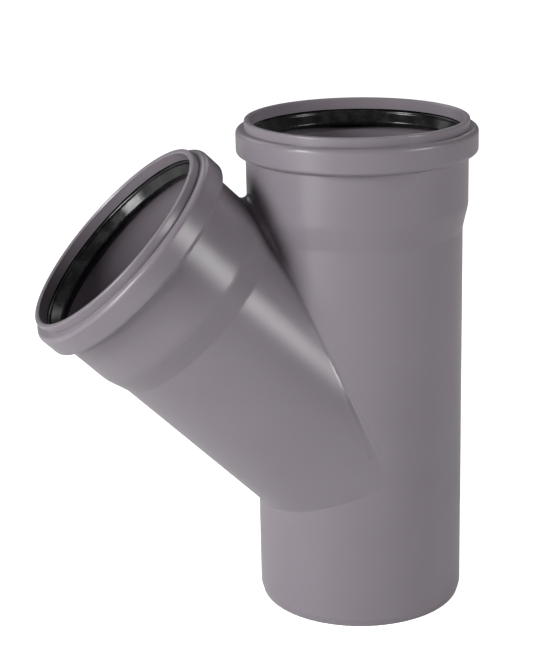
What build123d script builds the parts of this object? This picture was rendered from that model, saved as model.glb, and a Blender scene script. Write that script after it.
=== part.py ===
"""A 45 degree lateral wye fitting for push-fit soil and waste pipe of 110 mm outside diameter.

A straight run tube has a plain chamfered spigot at its foot and a socket at its top.
A branch tube of the same bore leaves the run at 45 degrees and ends in a second, equal socket.
Each socket has a rolled bead near its mouth, and a rubber lip seal sits in the groove inside that bead.
Millimetres. The origin is the centre of the spigot's foot.
+Z runs up the run's axis, and the branch leans towards -X.
"""

import os
from math import cos, radians, sin, tan

from build123d import *

# Layout of the two axes
branch_angle = 45.0  # between the branch's axis and the run's upper half
foot_to_crossing = 79.5
crossing_to_mouth = 183.0  # the same along the run and along the branch

# Pipe that the fitting joins, and the plain tubes
pipe_radius = 55.0
tube_wall = 2.7
tube_relief = 0.1  # the moulded tubes are this much fuller than the spigot
spigot_length = 50.0
spigot_blend = 2.0
spigot_chamfer = 3.8
spigot_chamfer_inset = 1.05

# Socket, with depths measured down from its mouth
socket_clearance = 0.35
socket_wall = 2.55
socket_depth = 48.0
stop_length = 6.0
taper_top = 45.6
taper_length = 12.6
taper_top_round = 15.0
taper_foot_round = 5.0

# Rim round the mouth
mouth_clearance = 0.6
rim_wall = 2.8
rim_height = 4.7
rim_round = 0.9
mouth_round = 0.7

# Bead, and the seal groove inside it
groove_top = 6.0
groove_height = 10.0
groove_reach = 5.3  # from the pipe to the groove's floor
groove_run_out = 2.0
bead_wall = 2.6
bead_foot_drop = 1.2  # the bead's lower corner below the groove's
bead_run_out = 2.2
bead_shoulder_round = 2.5
bead_foot_round = 2.0

# Creases where the branch leaves the run
upper_crease_round = 1.0
crotch_round = 3.4  # the upper crease widens to this between the two necks
crotch_fading = 6  # power of the turn's cosine with which that widening fades out
lower_crease_round = 3.0
crease_bite = 0.01  # share of its radius by which a rounding dips under the limbs, to join them
crotch_bite = 0.06  # the same between the two necks, where the tapers call for more
crease_end = 82.0  # how far round the limbs from the crotch a rounding runs, in degrees
crease_sections = 37
crease_settling = 20  # rounds in which the ball's distance settles against the taper

# Lip seal
seal_gap = 0.12  # between the seal and the groove
lip_gap = 0.25  # between the pressed-back lip and the pipe
collar_height = 2.5
collar_setback = 1.0
seal_wall = 1.5
lip_tip = 0.9
lip_reach = 8.2  # from the seal's top to the lip's tip

# Radii and depths that follow from the sizes above
tube_radius = pipe_radius + tube_relief
passage_radius = pipe_radius - tube_wall
socket_radius = pipe_radius + socket_clearance
neck_radius = socket_radius + socket_wall
mouth_radius = pipe_radius + mouth_clearance
rim_radius = mouth_radius + rim_wall
groove_radius = pipe_radius + groove_reach
groove_foot = groove_top + groove_height
bead_radius = groove_radius + bead_wall
bead_foot = groove_foot + bead_foot_drop
lip_radius = pipe_radius + lip_gap


def corner(sketch, radius, height):
    """The profile's corner nearest to a radius and a height."""
    return sketch.vertices().sort_by_distance((radius, height))[0]


# Outside of one limb, from the crossing of the axes up to the mouth
mouth = crossing_to_mouth
with BuildPart() as limb:
    with BuildSketch(Plane.XZ) as limb_outline:
        with BuildLine():
            Polyline(
                (0, 0),
                (tube_radius, 0),
                (tube_radius, mouth - taper_top - taper_length),
                (neck_radius, mouth - taper_top),
                (neck_radius, mouth - bead_foot - bead_run_out),
                (bead_radius, mouth - bead_foot),
                (bead_radius, mouth - rim_height),
                (rim_radius, mouth - rim_height),
                (rim_radius, mouth),
                (0, mouth),
                close=True,
            )
        make_face()
        fillet(corner(limb_outline, tube_radius, mouth - taper_top - taper_length), taper_foot_round)
        fillet(corner(limb_outline, neck_radius, mouth - taper_top), taper_top_round)
        fillet(corner(limb_outline, bead_radius, mouth - bead_foot), bead_foot_round)
        fillet(corner(limb_outline, bead_radius, mouth - rim_height), bead_shoulder_round)
        fillet(corner(limb_outline, rim_radius, mouth), rim_round)
    revolve(axis=Axis.Z)

# Hollow of one limb: bore, pipe stop, socket, seal groove and mouth
with BuildPart() as limb_hollow:
    with BuildSketch(Plane.XZ) as hollow_outline:
        with BuildLine():
            Polyline(
                (0, 0),
                (passage_radius, 0),
                (passage_radius, mouth - socket_depth - stop_length),
                (socket_radius, mouth - socket_depth),
                (socket_radius, mouth - groove_foot - groove_run_out),
                (groove_radius, mouth - groove_foot),
                (groove_radius, mouth - groove_top),
                (mouth_radius, mouth - groove_top),
                (mouth_radius, mouth - mouth_round),
                (mouth_radius + mouth_round, mouth),
                (0, mouth),
                close=True,
            )
        make_face()
    revolve(axis=Axis.Z)

run_place = Location((0, 0, foot_to_crossing))
branch_place = Location((0, 0, foot_to_crossing), (0, -branch_angle, 0))
crossing = Vector(0, 0, foot_to_crossing)
run_up = Vector(0, 0, 1)
branch_up = run_up.rotate(Axis.Y, -branch_angle)


def limb_radius(height):
    """The outside radius of a limb under its bead, at a height above the crossing."""
    rise = (height - mouth + taper_top + taper_length) / taper_length
    return tube_radius + (neck_radius - tube_radius) * min(max(rise, 0), 1)


def crease_section(tube_a, tube_b, end_round, middle_round, middle_bite, turn):
    """A section through the rounding in the corner between two limbs, at a turn round them from the crotch.

    A ball that touches both limbs has its centre in the plane halfway between them.
    The section is the ball's arc between its two points of touch, closed by two lines inside the limbs.
    """
    across = Vector(0, 1, 0)
    halfway = (tube_a + tube_b).normalized()
    half_angle = radians(halfway.get_angle(tube_a))
    fading = cos(turn) ** crotch_fading
    round_radius = end_round + (middle_round - end_round) * fading
    bite = crease_bite + (middle_bite - crease_bite) * fading
    reach = tube_radius
    for _ in range(crease_settling):
        reach = limb_radius(reach * cos(turn) / tan(half_angle)) + round_radius * (1 - bite)
    out = halfway * (reach * cos(turn) / sin(half_angle)) + across * (reach * sin(turn))
    from_a = (out - tube_a * out.dot(tube_a)).normalized()
    from_b = (out - tube_b * out.dot(tube_b)).normalized()
    between = (from_a + from_b).normalized()
    ball = crossing + out
    touch_a = ball - from_a * round_radius
    touch_b = ball - from_b * round_radius
    inside = ball - between * (round_radius / between.dot(from_a) + round_radius + tube_wall / 2)
    arc = Edge.make_three_point_arc(touch_a, ball - between * round_radius, touch_b)
    lines = [Edge.make_line(touch_b, inside), Edge.make_line(inside, touch_a)]
    return Face(Wire([arc] + lines))


def crease_rounding(tube_a, tube_b, end_round, middle_round, middle_bite):
    """The solid that rounds the corner between two limbs, lofted through sections from side to side."""
    step = 2 * crease_end / (crease_sections - 1)
    turns = [radians(i * step - crease_end) for i in range(crease_sections)]
    sections = [crease_section(tube_a, tube_b, end_round, middle_round, middle_bite, turn) for turn in turns]
    return Solid.make_loft([section.outer_wire() for section in sections])


# The moulded body: spigot, two limbs, rounded creases, then the hollows
with BuildPart() as fitting_body:
    with BuildSketch(Plane.XZ):
        with BuildLine():
            Polyline(
                (0, 0),
                (pipe_radius - spigot_chamfer_inset, 0),
                (pipe_radius, spigot_chamfer),
                (pipe_radius, spigot_length),
                (tube_radius, spigot_length + spigot_blend),
                (tube_radius, foot_to_crossing),
                (0, foot_to_crossing),
                close=True,
            )
        make_face()
    revolve(axis=Axis.Z)
    with Locations(run_place, branch_place):
        add(limb.part)
    add(crease_rounding(run_up, branch_up, upper_crease_round, crotch_round, crotch_bite))
    add(crease_rounding(-run_up, branch_up, lower_crease_round, lower_crease_round, crease_bite))
    with BuildSketch():
        Circle(passage_radius)
    extrude(amount=foot_to_crossing, mode=Mode.SUBTRACT)
    with Locations(run_place, branch_place):
        add(limb_hollow.part, mode=Mode.SUBTRACT)
fitting_body.part.label = "fitting_body"

# Lip seal: a heel on the groove's floor and a lip that folds down and inwards from its top
seal_top = mouth - groove_top - seal_gap
seal_foot = mouth - groove_foot + seal_gap
heel_radius = groove_radius - seal_gap
collar_radius = lip_radius + collar_setback
with BuildPart() as seal_ring:
    with BuildSketch(Plane.XZ):
        with BuildLine():
            Polyline(
                (heel_radius, seal_top),
                (heel_radius, seal_foot),
                (heel_radius - seal_wall, seal_foot),
                (heel_radius - seal_wall, seal_top - collar_height),
                (lip_radius + lip_tip, seal_top - lip_reach),
                (lip_radius, seal_top - lip_reach),
                (lip_radius, seal_top - lip_reach + lip_tip),
                (collar_radius, seal_top - collar_height),
                (collar_radius, seal_top),
                close=True,
            )
        make_face()
    revolve(axis=Axis.Z)

run_seal = seal_ring.part.moved(run_place)
run_seal.label = "run_seal"
branch_seal = seal_ring.part.moved(branch_place)
branch_seal.label = "branch_seal"

os.makedirs("parts", exist_ok=True)
export_step(fitting_body.part, "parts/fitting_body.step")
export_step(run_seal, "parts/run_seal.step")
export_step(branch_seal, "parts/branch_seal.step")
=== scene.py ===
# %% [markdown]
# # A lateral wye fitting, dressed for a studio picture
#
# The object is a push-fit drain fitting: a straight run of grey plastic tube with a socket on top,
# a second socket on a branch at 45 degrees, and a black rubber seal in each socket.
# The exact shape of the moulded body arrives as a fixed frame, in metres, with its foot at the
# origin. What is left to do here is the finish: the satin plastic, the two soft rubber lips,
# the light and the view.

from math import cos, pi, radians, sin

import bmesh
import bpy
from mathutils import Matrix, Vector


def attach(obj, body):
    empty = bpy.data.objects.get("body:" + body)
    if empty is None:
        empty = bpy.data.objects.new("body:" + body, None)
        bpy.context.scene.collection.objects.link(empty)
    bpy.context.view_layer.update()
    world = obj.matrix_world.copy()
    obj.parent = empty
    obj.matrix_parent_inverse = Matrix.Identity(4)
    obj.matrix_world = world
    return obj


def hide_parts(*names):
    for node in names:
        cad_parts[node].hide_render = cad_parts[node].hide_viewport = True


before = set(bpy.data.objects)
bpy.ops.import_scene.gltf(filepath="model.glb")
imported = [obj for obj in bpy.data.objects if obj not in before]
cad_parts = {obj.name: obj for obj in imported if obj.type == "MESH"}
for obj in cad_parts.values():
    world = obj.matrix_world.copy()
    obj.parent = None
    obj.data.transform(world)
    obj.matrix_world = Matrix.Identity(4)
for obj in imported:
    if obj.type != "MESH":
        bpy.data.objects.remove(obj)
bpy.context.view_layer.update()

# %% [markdown]
# ## The two limbs
#
# Everything round on this fitting turns about one of two lines.
# The run goes straight up, and the branch leaves it at a crossing above the foot and leans
# 45 degrees towards -X.
# Both mouths lie equally far from that crossing, so a ring that is made for one limb fits the
# other. Each limb gets a matrix that carries a ring from its own upright frame, with the crossing
# at its origin, to its place on the fitting.

# %% The limbs' places
mm = 0.001
crossing_height = 79.5 * mm
crossing_to_mouth = 183.0 * mm
branch_angle = radians(45.0)

to_crossing = Matrix.Translation((0, 0, crossing_height))
limb_places = {
    "run": to_crossing,
    "branch": to_crossing @ Matrix.Rotation(-branch_angle, 4, "Y"),
}
for limb, place in limb_places.items():
    middle = place @ Vector((0, 0, crossing_to_mouth))
    print("centre of the", limb, "mouth, in mm:", [round(v / mm, 1) for v in middle])

# %% [markdown]
# ## Helpers for node materials
#
# A moulded surface is never one flat colour: its pigment drifts a little, the tool leaves a fine
# grain, and handling leaves faint marks. Each of those is a noise texture at its own real size.
# Reading Object coordinates ties the pattern to the piece in metres, so that it keeps its scale
# and stays put when the camera moves.
#
# A node's input takes either another node's output or a plain number.
# One small helper hides that difference, and the others are built on it.

# %% Start a material, and feed a node
def new_material(name):
    """An empty node material with a Principled shader, and its tree, shader and coordinates."""
    material = bpy.data.materials.new(name)
    material.use_nodes = True
    tree = material.node_tree
    shader = tree.nodes["Principled BSDF"]
    coordinates = tree.nodes.new("ShaderNodeTexCoord")
    return material, tree, shader, coordinates.outputs["Object"]


def feed(tree, socket, value):
    """Link another node's output to a socket, or set a plain value there."""
    if isinstance(value, bpy.types.NodeSocket):
        tree.links.new(value, socket)
    else:
        socket.default_value = value


# %% Noise, ranges and mixtures
def noise(tree, place, size, detail=2.0, roughness=0.5):
    """Noise whose patches are about as large as size, in metres."""
    node = tree.nodes.new("ShaderNodeTexNoise")
    node.inputs["Scale"].default_value = 1.0 / size
    node.inputs["Detail"].default_value = detail
    node.inputs["Roughness"].default_value = roughness
    tree.links.new(place, node.inputs["Vector"])
    return node.outputs["Fac"]


def spread(tree, value, old_range, new_range=(0.0, 1.0)):
    """Map the part of a value inside one range onto another."""
    node = tree.nodes.new("ShaderNodeMapRange")
    node.inputs["From Min"].default_value, node.inputs["From Max"].default_value = old_range
    node.inputs["To Min"].default_value, node.inputs["To Max"].default_value = new_range
    tree.links.new(value, node.inputs["Value"])
    return node.outputs["Result"]


def mix_colours(tree, factor, first, second):
    """A colour between two, chosen by a factor."""
    node = tree.nodes.new("ShaderNodeMix")
    node.data_type = "RGBA"
    node.inputs["A"].default_value = (*first, 1.0)
    node.inputs["B"].default_value = (*second, 1.0)
    tree.links.new(factor, node.inputs["Factor"])
    return node.outputs["Result"]


def mix_numbers(tree, factor, first, second):
    """A number between two, chosen by a factor."""
    node = tree.nodes.new("ShaderNodeMix")
    for name, value in (("Factor", factor), ("A", first), ("B", second)):
        feed(tree, node.inputs[name], value)
    return node.outputs["Result"]


# %% Arithmetic, on numbers and on vectors
def arithmetic(tree, operation, *values):
    """The result of a Math node."""
    node = tree.nodes.new("ShaderNodeMath")
    node.operation = operation
    for socket, value in zip(node.inputs, values):
        feed(tree, socket, value)
    return node.outputs["Value"]


def on_vectors(tree, operation, result, *values):
    """One result of a Vector Math node: its Vector or its Value."""
    node = tree.nodes.new("ShaderNodeVectorMath")
    node.operation = operation
    for socket, value in zip(node.inputs, values):
        feed(tree, socket, value)
    return node.outputs[result]


def stretched(tree, place, scale):
    """Coordinates scaled by axis. A noise read from them is drawn out along the small ones."""
    return on_vectors(tree, "MULTIPLY", "Vector", place, scale)


# %% Bumps
def bumps(tree, shader, layers):
    """Chain bump nodes, one for each (height, depth in metres), up to the shader's normal."""
    normal = None
    for height, depth in layers:
        node = tree.nodes.new("ShaderNodeBump")
        node.inputs["Strength"].default_value = 1.0
        node.inputs["Distance"].default_value = depth
        tree.links.new(height, node.inputs["Height"])
        if normal is not None:
            tree.links.new(normal, node.inputs["Normal"])
        normal = node.outputs["Normal"]
    tree.links.new(normal, shader.inputs["Normal"])


# %% [markdown]
# ## Grey polypropylene
#
# The body is polypropylene, coloured in the mass with a neutral grey that has a breath of magenta.
# Its tool is smooth but not polished, so the gloss is satin: lights show as soft patches, never as
# sharp images.
# Three things keep it from looking like paint. The pigment drifts by a percent or two over a few
# centimetres, the melt leaves faint waves as it cools, and fine handling rubs change the gloss in
# streaks along the run.

# %% The plastic's colour
darker_grey = (0.233, 0.205, 0.234)
paler_grey = (0.248, 0.219, 0.249)
drift_size = 45 * mm
speckle_size = 1.1 * mm
speckle_share = 0.18
pigment_range = (0.38, 0.82)  # the part of the summed noises that runs from darker to paler


def pigment(tree, place):
    """The grey, drifting over centimetres with a finer speckle on top."""
    drift = noise(tree, place, drift_size)
    speckle = noise(tree, place, speckle_size)
    both = arithmetic(tree, "MULTIPLY_ADD", speckle, speckle_share, drift)
    return mix_colours(tree, spread(tree, both, pigment_range), darker_grey, paler_grey)


print("the grey runs from", darker_grey, "to", paler_grey)

# %% [markdown]
# ### The glossy corner
#
# One place is glossier than the rest: the tight corner between branch and run, where the melt is
# pressed hardest against the steel. There the real fitting shows a thin bright line.
# A point lies in that corner when it is equally far from both axes, and vector maths can tell.
# The length of the cross product of its offset from the crossing and an axis is its distance from
# that axis.
# The wide lower part of the corner stays satin, so the gloss comes in above the crossing,
# where the dot product with the direction halfway between the axes has grown large enough.

# %% Where the corner is
corner_edge = (0.8 * mm, 1.2 * mm)  # difference of the two distances over which the gloss fades
corner_start = (15 * mm, 30 * mm)  # above the crossing, where the gloss sets in


def in_corner(tree, place):
    """1 in the upper corner between branch and run, and 0 elsewhere."""
    run_up, branch_up = [
        limb_places[limb].to_3x3() @ Vector((0, 0, 1)) for limb in ("run", "branch")
    ]
    offset = on_vectors(tree, "SUBTRACT", "Vector", place, (0.0, 0.0, crossing_height))
    from_run, from_branch = [
        on_vectors(tree, "LENGTH", "Value", on_vectors(tree, "CROSS_PRODUCT", "Vector", offset, up))
        for up in (run_up, branch_up)
    ]
    apart = arithmetic(tree, "ABSOLUTE", arithmetic(tree, "SUBTRACT", from_run, from_branch))
    halfway = (run_up + branch_up).normalized()
    height = on_vectors(tree, "DOT_PRODUCT", "Value", offset, halfway)
    close = spread(tree, apart, corner_edge, (1.0, 0.0))
    return arithmetic(tree, "MULTIPLY", close, spread(tree, height, corner_start))


print("the gloss fades out", round(corner_edge[1] / mm, 1), "mm from the corner's middle")

# %% The plastic's material
satin_range = (0.28, 0.31)  # roughness from the most rubbed places to the least
gloss_noise_range = (0.5, 1.0)
corner_roughness = 0.15
rub_size = 3.2 * mm
rub_stretch = (1.0, 1.0, 0.16)
rub_detail, rub_raggedness = 4.0, 0.6
rub_share = 0.5
patch_size = 22 * mm
patch_detail = 3.0
wave_size, wave_depth = 24 * mm, 0.04 * mm
wave_detail = 1.0
grain_size, grain_depth = 0.45 * mm, 0.0015 * mm
plastic_ior = 1.49
plastic_specular = 0.5


def grey_plastic():
    """The body's plastic: drifting grey, streaky satin gloss, faint waves and a fine grain."""
    material, tree, shader, place = new_material("grey_polypropylene_satin")
    tree.links.new(pigment(tree, place), shader.inputs["Base Color"])

    streaks = stretched(tree, place, rub_stretch)
    rubs = noise(tree, streaks, rub_size, rub_detail, rub_raggedness)
    patches = noise(tree, place, patch_size, patch_detail)
    gloss = arithmetic(tree, "MULTIPLY_ADD", rubs, rub_share, patches)
    satin = spread(tree, gloss, gloss_noise_range, satin_range)
    roughness = mix_numbers(tree, in_corner(tree, place), satin, corner_roughness)
    tree.links.new(roughness, shader.inputs["Roughness"])
    shader.inputs["IOR"].default_value = plastic_ior
    shader.inputs["Specular IOR Level"].default_value = plastic_specular

    waves = noise(tree, place, wave_size, wave_detail)
    grain = noise(tree, place, grain_size)
    bumps(tree, shader, [(waves, wave_depth), (grain, grain_depth)])
    return material


# A CAD node keeps its mesh, and gets its finish through its material slot.
def dress(node, material):
    """Give a frame node one material in place of the plain one that it came with."""
    node.data.materials.clear()
    node.data.materials.append(material)


plastic = grey_plastic()
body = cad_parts["fitting_body"]
dress(body, plastic)
print("the body has", len(body.data.polygons), "faces and wears", plastic.name)

# %% [markdown]
# ## Seal rubber
#
# The seals are black rubber, moulded and then wiped with a thin film of silicone grease.
# Where the film lies the rubber is glossy, and where it has been wiped off it is dull and a little
# paler. One noise of about a centimetre decides which is which, and drives both the roughness and
# the colour. The rubber also sags a little between one place and the next, and its skin is finely
# pebbled, which two bumps at their own sizes show.

# %% The rubber's material
film_size = 9 * mm
film_detail, film_raggedness = 4.0, 0.62
film_colour_range = (0.42, 0.62)
film_gloss_range = (0.4, 0.65)
greased_black = (0.005, 0.005, 0.006)
wiped_black = (0.02, 0.02, 0.02)
rubber_roughness = (0.18, 0.27)
rubber_ior = 1.5
rubber_specular = 0.45
sag_size, sag_depth = 12 * mm, 0.22 * mm
skin_size, skin_depth = 0.6 * mm, 0.02 * mm


def greased_rubber():
    """The seals' rubber, with patches where the grease has been wiped off."""
    material, tree, shader, place = new_material("seal_rubber_greased")
    film = noise(tree, place, film_size, film_detail, film_raggedness)
    wiped = spread(tree, film, film_colour_range)
    colour = mix_colours(tree, wiped, greased_black, wiped_black)
    tree.links.new(colour, shader.inputs["Base Color"])
    roughness = spread(tree, film, film_gloss_range, rubber_roughness)
    tree.links.new(roughness, shader.inputs["Roughness"])
    shader.inputs["IOR"].default_value = rubber_ior
    shader.inputs["Specular IOR Level"].default_value = rubber_specular
    sag = noise(tree, place, sag_size)
    skin = noise(tree, place, skin_size)
    bumps(tree, shader, [(sag, sag_depth), (skin, skin_depth)])
    return material


rubber = greased_rubber()
print("materials so far:", [plastic.name, rubber.name])

# %% [markdown]
# ## The rubber lip seals
#
# Each seal is one ring. Its heel fills the groove inside the bead, and from the top of the heel a
# soft lip slants inwards and down, so that a pipe that is pushed in folds it back.
# The frame's own seal shows the lip as a fitted pipe would press it.
# With no pipe in the socket the lip stands a little further in, and that is the shape to make here.
#
# A ring with one section all the way round is a job for spin.
# The section is drawn once, as radius and depth below the mouth, its corners are rounded with a
# vertex bevel, and the rounded outline is spun through a full turn with use_merge, which welds the
# last step to the first.

# %% The seal's section
heel_radius = 60.15 * mm
seal_top = 6.15 * mm
seal_foot = 15.85 * mm
seal_section = [
    (heel_radius, seal_top),
    (heel_radius, seal_foot),
    (58.3 * mm, seal_foot),
    (58.0 * mm, 10.8 * mm),
    (56.2 * mm, 11.0 * mm),
    (53.2 * mm, 14.3 * mm),
    (52.2 * mm, 13.8 * mm),
    (52.1 * mm, 12.6 * mm),
    (55.1 * mm, 8.3 * mm),
    (55.1 * mm, 7.4 * mm),
    (55.6 * mm, 6.8 * mm),
    (56.5 * mm, 6.5 * mm),
    (58.0 * mm, seal_top),
]
corner_round = 0.35 * mm
corner_steps = 3
ring_steps = 160
lip_radius = min(radius for radius, depth in seal_section)
print("the lip stands in to a radius of", round(lip_radius / mm, 1), "mm")


# %% Spin the section into a ring
def spin_ring(section):
    """A closed ring of a section given as (radius, depth below the mouth), in a limb's frame."""
    ring = bmesh.new()
    corners = [ring.verts.new((radius, 0, crossing_to_mouth - depth)) for radius, depth in section]
    ring.faces.new(corners)
    bmesh.ops.bevel(
        ring,
        geom=corners,
        offset=corner_round,
        segments=corner_steps,
        profile=0.5,
        affect="VERTICES",
        material=-1,
        clamp_overlap=True,
    )
    bmesh.ops.delete(ring, geom=ring.faces[:], context="FACES_ONLY")
    bmesh.ops.spin(
        ring,
        geom=ring.verts[:] + ring.edges[:],
        cent=(0, 0, 0),
        axis=(0, 0, 1),
        dvec=(0, 0, 0),
        angle=2 * pi,
        steps=ring_steps,
        use_merge=True,
        use_duplicate=False,
    )
    bmesh.ops.recalc_face_normals(ring, faces=ring.faces[:])
    return ring


# %% Put one ring in each socket
def add_seal(limb, node_name):
    """Make the seal of one limb, in place of the frame's seal of that name."""
    ring = spin_ring(seal_section)
    bmesh.ops.transform(ring, matrix=limb_places[limb], verts=ring.verts[:])
    volume = ring.calc_volume(signed=True)
    mesh = bpy.data.meshes.new(limb + "_lip_seal")
    ring.to_mesh(mesh)
    ring.free()
    mesh.shade_smooth()
    mesh.materials.append(rubber)
    seal = bpy.data.objects.new(limb + "_lip_seal", mesh)
    bpy.context.scene.collection.objects.link(seal)
    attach(seal, "root")
    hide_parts(node_name)
    print(seal.name, "has", len(mesh.polygons), "faces")
    print("it holds", round(volume / mm**3), "cubic mm of rubber")


add_seal("run", "run_seal")
add_seal("branch", "branch_seal")

# %% [markdown]
# ## Floor and background
#
# The picture is taken on white. A white floor lit by plain lamps is only as bright as the lamps
# make it, so the floor adds a little light of its own, but only for rays that come from the camera
# or from a reflection. The object is lit as before, its soft shadow stays on the floor, and the
# rest of the floor reaches white.
# The world does the same: a low level that lights the object from all sides, and white where the
# camera sees it.

# %% Only what the camera or a reflection sees
def brightness_by_ray(tree, seen, reflected, lighting):
    """A strength that differs between rays.

    Camera and transmission rays get the first level, glossy rays the second,
    and the rays that light things the third.
    """
    path = tree.nodes.new("ShaderNodeLightPath")
    strength = lighting
    for name, level in (
        ("Is Glossy Ray", reflected),
        ("Is Transmission Ray", seen),
        ("Is Camera Ray", seen),
    ):
        strength = mix_numbers(tree, path.outputs[name], strength, level)
    return strength


# %% The floor
reflected_level = 0.12
floor_half_width = 4.0
floor_colour = (0.86, 0.86, 0.86, 1.0)
floor_lift = 0.95
white = (1.0, 1.0, 1.0, 1.0)
paper_size = 1.5 * mm
paper_detail = 3.0
paper_noise_range = (0.3, 0.7)
paper_roughness = (0.62, 0.7)


def white_floor():
    """The floor's matt paper, lifted to white for the camera."""
    material, tree, shader, place = new_material("studio_floor")
    shader.inputs["Base Color"].default_value = floor_colour
    shader.inputs["Emission Color"].default_value = white
    paper = noise(tree, place, paper_size, paper_detail)
    roughness = spread(tree, paper, paper_noise_range, paper_roughness)
    tree.links.new(roughness, shader.inputs["Roughness"])
    lift = brightness_by_ray(tree, floor_lift, reflected_level, 0.0)
    tree.links.new(lift, shader.inputs["Emission Strength"])
    return material


sheet = bmesh.new()
bmesh.ops.create_grid(sheet, x_segments=1, y_segments=1, size=floor_half_width)
floor_mesh = bpy.data.meshes.new("floor")
sheet.to_mesh(floor_mesh)
sheet.free()
floor_mesh.materials.append(white_floor())
floor = bpy.data.objects.new("floor", floor_mesh)
bpy.context.scene.collection.objects.link(floor)
print("the floor is", 2 * floor_half_width, "m wide, at height", floor.location.z)

# %% The world
surround_level = 0.04
background_level = 1.0


def white_world():
    """A faint even light all round, that the camera sees as white."""
    world = bpy.data.worlds.new("studio_surround")
    world.use_nodes = True
    tree = world.node_tree
    background = tree.nodes["Background"]
    background.inputs["Color"].default_value = white
    level = brightness_by_ray(tree, background_level, reflected_level, surround_level)
    tree.links.new(level, background.inputs["Strength"])
    return world


bpy.context.scene.world = white_world()
bpy.context.scene.view_settings.view_transform = "Standard"
print("surround level", surround_level)

# %% [markdown]
# ## Lamps
#
# A product like this is lit by soft boxes, because a small lamp would leave a hard spark on the
# satin wall.
# The main box stands to the left and rather high, and a weaker one low beside the camera fills in
# under it, so the left of each tube is the brighter side and the crease in the middle falls into
# deep shade.
# A box on the right lays the soft band along the branch and the thin line in the crease.
# Two faint boxes behind keep the back from going black when the fitting is seen from there.

# %% Soft boxes
aim = Vector((-0.03, 0.0, 0.13))


def soft_box(name, turn, height, distance, size, power):
    """A rectangular lamp that is aimed at the fitting.

    Its turn runs from the front to the right, and its turn and height are in degrees.
    """
    lamp = bpy.data.lights.new(name, "AREA")
    lamp.shape = "RECTANGLE"
    lamp.size, lamp.size_y = size
    lamp.energy = power
    box = bpy.data.objects.new(name, lamp)
    a, e = radians(turn), radians(height)
    outwards = Vector((sin(a) * cos(e), -cos(a) * cos(e), sin(e)))
    box.location = aim + distance * outwards
    box.rotation_euler = outwards.to_track_quat("Z", "Y").to_euler()
    bpy.context.scene.collection.objects.link(box)
    print(name, "stands at", [round(v, 2) for v in box.location], "with", power, "W")


soft_box("left_box", -73, 28, 1.5, (0.4, 0.4), 14.4)
soft_box("left_low_box", -61, 8, 1.5, (0.4, 0.4), 7.0)
soft_box("right_box", 47.5, 18.5, 1.5, (0.42, 0.6), 8.6)
soft_box("back_left_box", -150, 40, 1.6, (0.8, 0.8), 2.5)
soft_box("back_right_box", 150, 40, 1.6, (0.8, 0.8), 2.5)

# %% [markdown]
# ## Camera
#
# The view is described as a photographer would: how far round and how high the camera stands,
# how far away it is, which point it looks at, and how far the frame is shifted.
# The focal length is known in pixels of a picture 650 pixels high.
# A sensor of 36 mm along that height turns it into a lens in millimetres.

# %% The camera
picture_height = 650
sensor = 36.0
view_turn = radians(-14.299)
view_height = radians(15.523)
view_roll = radians(-0.971)
view_distance = 0.88564
look_side = -29.013 * mm
look_height = 183.305 * mm
focal_pixels = 1674.14
shift_pixels = (-30.0, -60.0)

lens = bpy.data.cameras.new("picture_camera")
lens.sensor_width = sensor
lens.lens = focal_pixels * sensor / picture_height
lens.shift_x, lens.shift_y = [v / picture_height for v in shift_pixels]
lens.clip_start = 0.01
lens.clip_end = 20.0
camera = bpy.data.objects.new("picture_camera", lens)
looked_at = Vector((look_side * cos(view_turn), look_side * sin(view_turn), look_height))
back = Vector(
    (sin(view_turn) * cos(view_height), -cos(view_turn) * cos(view_height), sin(view_height))
)
camera.matrix_world = (
    Matrix.Translation(looked_at + view_distance * back)
    @ Matrix.Rotation(view_turn, 4, "Z")
    @ Matrix.Rotation(pi / 2 - view_height, 4, "X")
    @ Matrix.Rotation(view_roll, 4, "Z")
)
bpy.context.scene.collection.objects.link(camera)
bpy.context.scene.camera = camera
print("camera at", [round(v, 3) for v in camera.matrix_world.translation])
print("lens", round(lens.lens, 1), "mm")
